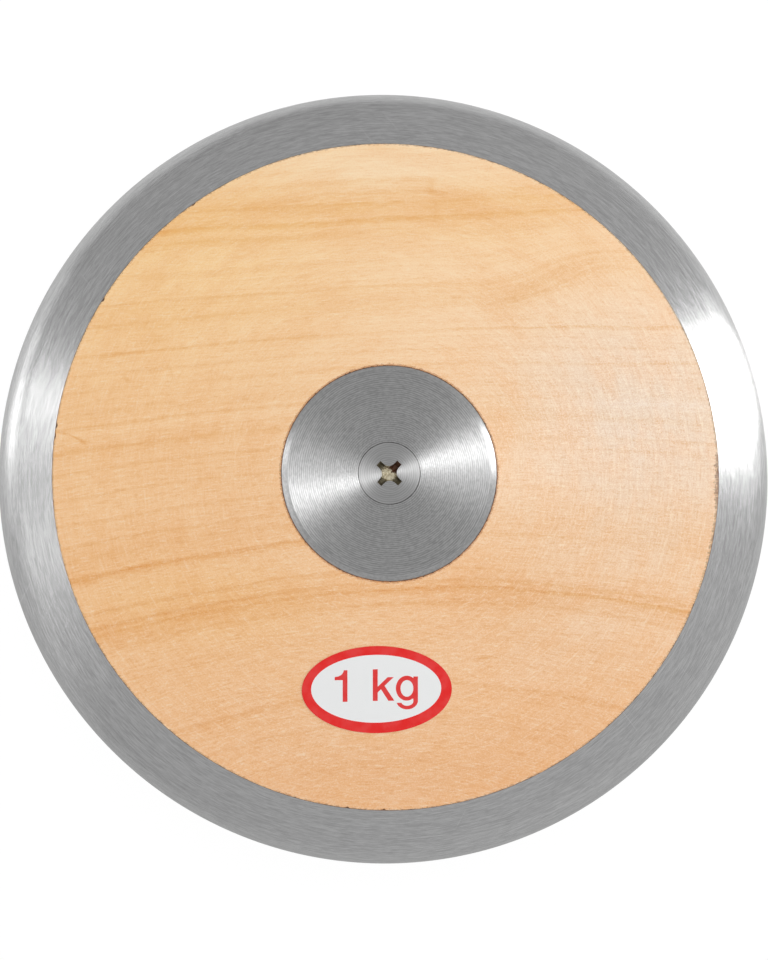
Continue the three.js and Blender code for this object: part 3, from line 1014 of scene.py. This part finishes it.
def make_glue(side, upside, material):
    """Uneven glue that fills the joints round the plate and inside the rim."""
    seed = 5.7 * upside

    def lumpy(row, radius, height, angle):
        if row >= 2:
            spot = Vector((math.cos(angle) * GLUE_LUMPS, math.sin(angle) * GLUE_LUMPS, seed + row))
            height += GLUE_LUMP * noise.noise(spot)
        return radius, height

    for name, inner, outer, sink in (
        ("plate", PLATE + 0.01 * MM, PLATE + GLUE_GAP * 1.6, 0.10 * MM),
        ("rim", WOOD_RIM - 0.2 * MM, RIM_BORE - 0.01 * MM, 0.22 * MM),
    ):
        between = (inner + outer) / 2
        outline = [
            (inner, side_height(inner) - GLUE_DEPTH),
            (outer, side_height(outer) - GLUE_DEPTH),
            (outer, side_height(outer) - sink),
            (between, side_height(between) - sink),
            (inner, side_height(inner) - sink),
        ]
        joint = f"{side}_{name}_glue"
        piece(joint, turned(joint, outline, upside=upside, shape=lumpy), material)


# Weight label: its outlines are in millimetres from its middle

LABEL_MIDDLE = ((LABEL_LOW.x + LABEL_HIGH.x) / 2, (LABEL_LOW.y + LABEL_HIGH.y) / 2)
LABEL_HALF = (17.45, 10.25 * math.cos(TAPER))
LABEL_TURN = math.radians(0.8)
LABEL_STEPS = 144
FIELD_HALF = (15.12, 7.82)
FIELD_SHIFT = (-0.15, 0.19)
LABEL_GLUE = 0.1 * MM
LABEL_FILM = 0.2 * MM
LABEL_MARGIN = 8 * MM
INK = 0.012 * MM

DIGIT_ONE = [
    (-6.85, -2.73), (-6.85, 4.56), (-7.70, 4.56), (-7.84, 4.06), (-8.26, 3.49), (-8.95, 3.14),
    (-9.82, 3.03), (-9.82, 2.28), (-7.97, 2.28), (-7.97, -2.73),
]
LETTER_K = [
    (-0.98, 4.69), (-0.98, -2.61), (0.17, -2.61), (0.17, -0.66), (0.92, 0.05), (2.66, -2.61),
    (4.05, -2.61), (1.76, 0.85), (3.90, 2.83), (2.48, 2.83), (0.17, 0.66), (0.17, 4.69),
]


def letter_g():
    """Outline and eye of the letter g."""
    outline = [(9.53, 2.93), (8.50, 2.93), (8.46, 2.60)]
    outline += arc(6.93, 0.25, 2.55, 2.88, 54, 305)
    outline += [(8.45, -2.35)]
    outline += arc(7.02, -2.75, 1.45, 1.06, 0, -150)
    outline += [(5.70, -3.10), (4.57, -3.10)]
    outline += arc(7.03, -2.65, 2.50, 1.99, 202, 360)
    eye = ellipse(6.97, 0.20, 1.50, 1.93, 24)
    return outline, eye


def on_label(points):
    """Places given in millimetres on the label, carried over to the frame."""
    cos, sin = math.cos(LABEL_TURN) * MM, math.sin(LABEL_TURN) * MM
    left, down = LABEL_MIDDLE
    return [(left + x * cos - y * sin, down + x * sin + y * cos) for x, y in points]


def skin(name, under, over, outlines, holes=()):
    """A layer that follows the taper of the upper side, cut to outlines seen from above."""
    low, high = under / math.cos(TAPER), over / math.cos(TAPER)
    inner, outer = PLATE + LABEL_MARGIN, RIM_BORE - LABEL_MARGIN
    shell = turned(name, [
        (inner, side_height(inner) + low),
        (outer, side_height(outer) + low),
        (outer, side_height(outer) + high),
        (inner, side_height(inner) + high),
    ])
    made = carved(shell, prism(outlines, MIDDLE, MIDDLE + 2 * HALF), "INTERSECT")
    if holes:
        made = carved(made, prism(holes, MIDDLE, MIDDLE + 2 * HALF))
    cleaned(made)
    return made


def make_label():
    """White film with a red printed border and the mark of the weight class."""
    edge = on_label(ellipse(0, 0, *LABEL_HALF, LABEL_STEPS))
    field = on_label(ellipse(*FIELD_SHIFT, *FIELD_HALF, LABEL_STEPS))
    top = LABEL_GLUE + LABEL_FILM
    paper = printed_film("white_film", colour(233, 234, 234))
    film = piece("label_film", skin("label_film", LABEL_GLUE, top, [edge]), paper)
    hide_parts("weight_label")
    red = printed_film("red_ink", colour(227, 20, 16))
    border = skin("label_border", top - INK, top + INK, [edge], [field])
    piece("label_border", border, red)
    outline, eye = letter_g()
    letters = [on_label(points) for points in (DIGIT_ONE, LETTER_K, outline)]
    marks = skin("label_mark", top - INK, top + INK, letters, [on_label(eye)])
    piece("label_mark", marks, printed_film("mark_ink", colour(222, 42, 41)))


# Stage, light and camera

# Floor: half its width, the gap under the discus, and where its painted shade turns paler
FLOOR_REACH = 3.0
FLOOR_DROP = 0.02 * MM
FLOOR_TURN = 0.12

# Surroundings: strength, where they are brightest, and the shares at the dim and bright sides
WORLD_LEVEL = 0.5
WORLD_BRIGHT_SIDE = (0.9, -0.45, 0)
WORLD_DIM = 0.76
WORLD_BRIGHT = 1.34

# Camera fitted to the outline of the discus in the photograph: leans in degrees, lens and sensor
# in millimetres, distance in metres
CAMERA_LEAN = (-3.594, -3.480)
CAMERA_SHIFT = (0.05 * MM, 0.42 * MM)
CAMERA_DISTANCE = 1.9978
FOCAL_LENGTH = 319.96
SENSOR_WIDTH = 36.0


def floor_paint():
    """Pale paint with a painted fall-off of light, dim towards -y, white to the camera, that keeps
    the shadow and is clear from below.
    """
    graph = Graph("pale_floor")
    path = graph.node("LightPath").outputs
    spot = graph.coordinates()
    cloud = graph.noise(spot, scale=3.0)
    ahead = graph.node("SeparateXYZ", {0: spot}).outputs[1]
    # Painted shade: the floor is darker towards -y, standing in for light falling off across it, seen
    # in the reflections of the steel
    near = graph.mix(cloud, grey(0.46), grey(0.48))
    far = graph.mix(cloud, grey(0.88), grey(0.90))
    paint = graph.mix(graph.spread(ahead, -FLOOR_TURN, FLOOR_TURN), near, far)
    plain = graph.node("BsdfDiffuse", {"Color": paint}).outputs[0]
    white = graph.node("Emission", {"Color": grey(1.0), "Strength": 1.05}).outputs[0]
    seen = graph.math(
        "MAXIMUM",
        graph.times(path["Is Camera Ray"], 0.93),
        graph.times(path["Is Glossy Ray"], 0.30),
    )
    shown = graph.node("MixShader", {0: seen, 1: plain, 2: white}).outputs[0]
    under = graph.node("NewGeometry").outputs["Backfacing"]
    clear = graph.node("BsdfTransparent").outputs[0]
    return graph.close(graph.node("MixShader", {0: under, 1: shown, 2: clear}))


def make_floor():
    """Flat floor just under the discus."""
    corners = [(x * FLOOR_REACH, y * FLOOR_REACH, 0) for x, y in ((-1, -1), (1, -1), (1, 1), (-1, 1))]
    mesh = built("floor", corners, [(0, 1, 2, 3)])
    mesh.materials.append(floor_paint())
    floor = added("floor", mesh)
    floor.location.z = cad_low.z - FLOOR_DROP


def make_world():
    """Even grey surroundings, a little brighter at one side, white to the camera."""
    graph = Graph("studio", "worlds")
    place = graph.node("TexCoord").outputs["Generated"]
    toward = graph.node("VectorMath", {0: place, 1: WORLD_BRIGHT_SIDE}, operation="DOT_PRODUCT")
    dim, bright = WORLD_LEVEL * WORLD_DIM, WORLD_LEVEL * WORLD_BRIGHT
    lit = graph.spread(toward.outputs["Value"], -1.0, 1.0, dim, bright, smooth=False)
    seen = graph.node("LightPath").outputs["Is Camera Ray"]
    strength = graph.spread(seen, 0.0, 1.0, lit, 1.0, smooth=False)
    shade = graph.node("Background", {"Color": grey(1.0), "Strength": strength})
    bpy.context.scene.world = graph.close(shade, "OutputWorld")


def softbox(name, azimuth, tilt, distance, wide, long, radiance, shines=True, lights=True):
    """Soft lamp aimed at the discus: azimuth and tilt from upright in degrees, wide is across.

    Shines is whether polished surfaces show it, lights whether matt ones are lit by it.
    """
    turn, lean = math.radians(azimuth), math.radians(tilt)
    out = Vector((math.sin(lean) * math.cos(turn), math.sin(lean) * math.sin(turn), math.cos(lean)))
    across = Vector((-math.sin(turn), math.cos(turn), 0))
    lamp = bpy.data.lights.new(name, "AREA")
    lamp.shape = "RECTANGLE"
    lamp.size, lamp.size_y = wide, long
    lamp.energy = radiance * math.pi * wide * long
    made = added(name, lamp)
    made.visible_camera = False
    made.visible_glossy = shines
    made.visible_diffuse = lights
    basis = Matrix((across, out.cross(across), out)).transposed().to_4x4()
    made.matrix_world = Matrix.Translation(Vector((0, 0, MIDDLE)) + out * distance) @ basis


def make_lamps():
    """Soft lamps round the discus. The main one and a narrow one make the fans of the steel."""
    softbox("main_softbox", 18.3, 32, 1.0, 0.155, 0.30, 7.9)
    softbox("right_strip", 18, 64, 1.0, 0.20, 0.90, 8.5, lights=False)
    softbox("right_wall", 16, 66, 1.0, 0.46, 0.85, 0.60, lights=False)
    softbox("left_softbox_narrow", 154.8, 16.8, 1.0, 0.04, 0.26, 8.3)
    softbox("left_softbox_wide", 183, 18, 1.0, 0.10, 0.30, 1.05)
    softbox("left_low_softbox", 193, 50, 1.0, 0.52, 0.45, 0.40, lights=False)
    softbox("left_strip", 167, 62, 1.0, 0.20, 0.90, 0.9, lights=False)
    softbox("left_strip_side", 165, 72, 1.0, 0.40, 0.60, 0.7, lights=False)
    softbox("left_wall", 164, 76, 1.0, 0.75, 0.50, 0.40, lights=False)
    softbox("left_wall_wide", 165, 77, 1.2, 3.40, 0.55, 0.23, lights=False)
    softbox("overhead_fill", 0, 0, 1.2, 1.2, 1.2, 1.32, shines=False)


def make_camera():
    """Long lens almost straight above, as in the photograph."""
    toward = Vector([math.sin(math.radians(lean)) for lean in CAMERA_LEAN] + [0])
    toward.z = math.sqrt(1 - toward.length_squared)
    up = (Vector((0, 1, 0)) - toward * toward.y).normalized()
    right = up.cross(toward)
    lens = bpy.data.cameras.new("camera")
    lens.lens = FOCAL_LENGTH
    lens.sensor_width = SENSOR_WIDTH
    camera = added("camera", lens)
    aim = Vector((0, 0, MIDDLE)) - right * CAMERA_SHIFT[0] - up * CAMERA_SHIFT[1]
    basis = Matrix((right, up, toward)).transposed().to_4x4()
    camera.matrix_world = Matrix.Translation(aim + toward * CAMERA_DISTANCE) @ basis
    bpy.context.scene.camera = camera


bpy.context.scene.view_settings.view_transform = "Standard"
make_camera()
make_floor()
make_world()
make_lamps()

rim_steel = turned_steel(
    "rim_steel",
    level=0.56,
    layers=((0.30, 6.0, 0.24), (0.26, 20.0, 0.42), (0.22, 40.0, 0.40), (1.2, 2.0, 0.04)),
    roughness=0.262, anisotropy=0.96, mark_depth=0.002 * MM, tone=0.16,
)
plate_steel = turned_steel(
    "plate_steel",
    level=0.475,
    layers=((0.30, 1.0, 0.18), (0.28, 8.0, 0.24), (0.36, 16.0, 0.54), (1.0, 1.0, 0.05)),
    roughness=0.40, anisotropy=0.94, mark_depth=0.026 * MM, tone=0.22,
    feed=(0.47, 0.18), worn=0.1,
)
bevel_steel = turned_steel(
    "bevel_steel",
    level=0.49, layers=((0.25, 2.0, 0.5), (0.4, 30.0, 0.5)),
    roughness=0.29, anisotropy=0.93, mark_depth=0.005 * MM, tone=0.18, worn=0.0,
)
washer_steel = turned_steel(
    "washer_steel",
    level=0.5, layers=((0.3, 2.0, 1.0),),
    roughness=0.4, anisotropy=0.6, mark_depth=0.01 * MM, tone=0.12,
)
screw_top = screw_steel()
glue = glue_line()
woods = {
    "upper": lacquered_maple("upper_maple", (0, 0, 0), (0, 0, 0), True),
    "lower": lacquered_maple("lower_maple", (0, 0, math.radians(24)), (11, -17, 5), False),
}

make_rim(rim_steel)
for side, upside in (("upper", 1), ("lower", -1)):
    make_wood(side, upside, woods[side])
    make_plate(side, upside, plate_steel, bevel_steel)
    make_screw(side, upside, screw_top)
    make_glue(side, upside, glue)
make_label()

inner = {"sleeve_nut": yellow_zinc("nut_zinc"), "washer": washer_steel, "dowel": plain_beech()}
for name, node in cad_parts.items():
    for key, material in inner.items():
        if key in name:
            node.data.materials.clear()
            node.data.materials.append(material)
